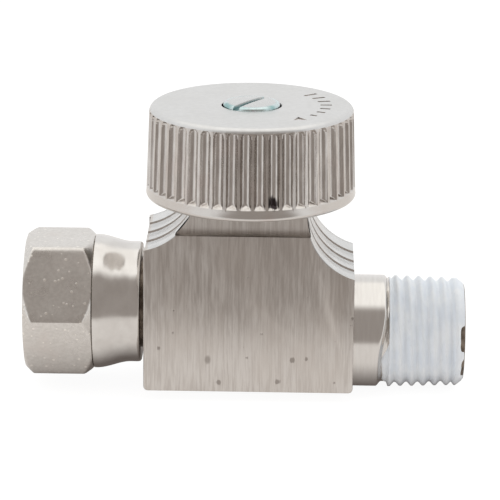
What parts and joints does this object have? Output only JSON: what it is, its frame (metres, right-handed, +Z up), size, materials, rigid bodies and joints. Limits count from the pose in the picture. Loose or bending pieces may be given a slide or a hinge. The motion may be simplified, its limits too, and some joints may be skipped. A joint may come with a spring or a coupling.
{
  "type": "needle valve",
  "caption": "Small in-line needle valve: brass block with a free-turning female inlet nut, a male taper-threaded outlet and a fluted knob that screws a needle onto its seat.",
  "frame": {"origin": "on the needle's axis, in the plane of the block's bottom face", "axes": "+X along the flow from the inlet nut to the male thread, +Z up along the needle's axis to the knob"},
  "size_m": [0.0536, 0.0254, 0.0357],
  "materials": {
    "nickel_brushed": "nickel plated brass, brushed along the vertical, small pits",
    "nickel_turned": "nickel plated brass, smooth turned",
    "nickel_cast": "nickel plated brass, fine speckled flats",
    "nickel_satin": "nickel plated brass, satin top and bright flutes",
    "brass_plain": "plain turned brass",
    "stainless": "ground stainless steel",
    "steel_zinc": "zinc plated steel with a blue-green tint",
    "copper": "soft copper",
    "ptfe": "white PTFE",
    "sealing_paste": "dried white thread sealing paste, uneven",
    "nylon": "natural nylon",
    "seal_rubber": "black nitrile rubber"
  },
  "bodies": {
    "housing": {"valve_body": "nickel_brushed", "thread_sealant": "sealing_paste", "swivel_nipple": "nickel_turned", "swivel_gasket": "nylon", "bonnet_washer": "copper", "bonnet": "brass_plain", "packing_washer": "steel_zinc", "packing_ring_lower": "ptfe", "packing_ring_upper": "ptfe", "gland_follower": "brass_plain", "packing_nut": "brass_plain"},
    "inlet_nut": {"swivel_nut": "nickel_cast"},
    "stem_seal": {"stem_o_ring": "seal_rubber"},
    "knob_and_stem": {"needle_stem": "stainless", "knob": "nickel_satin", "knob_screw": "steel_zinc", "lock_washer": "steel_zinc"}
  },
  "joints": [
    {"name": "nut_spin", "type": "hinge", "parent": "housing", "child": "inlet_nut", "pos_m": [-0.02, 0, 0.00889], "axis": [-1, 0, 0], "continuous": true},
    {"name": "stem_rise", "type": "slide", "parent": "housing", "child": "stem_seal", "axis": [0, 0, 1], "range_m": [0, 0.00225]},
    {"name": "knob_turn", "type": "hinge", "parent": "stem_seal", "child": "knob_and_stem", "pos_m": [0, 0, 0], "axis": [0, 0, 1], "range_deg": [0, 1080]}
  ],
  "couplings": [
    {"joint": "stem_rise", "follows": "knob_turn", "m_per_rad": 0.00011937}
  ]
}
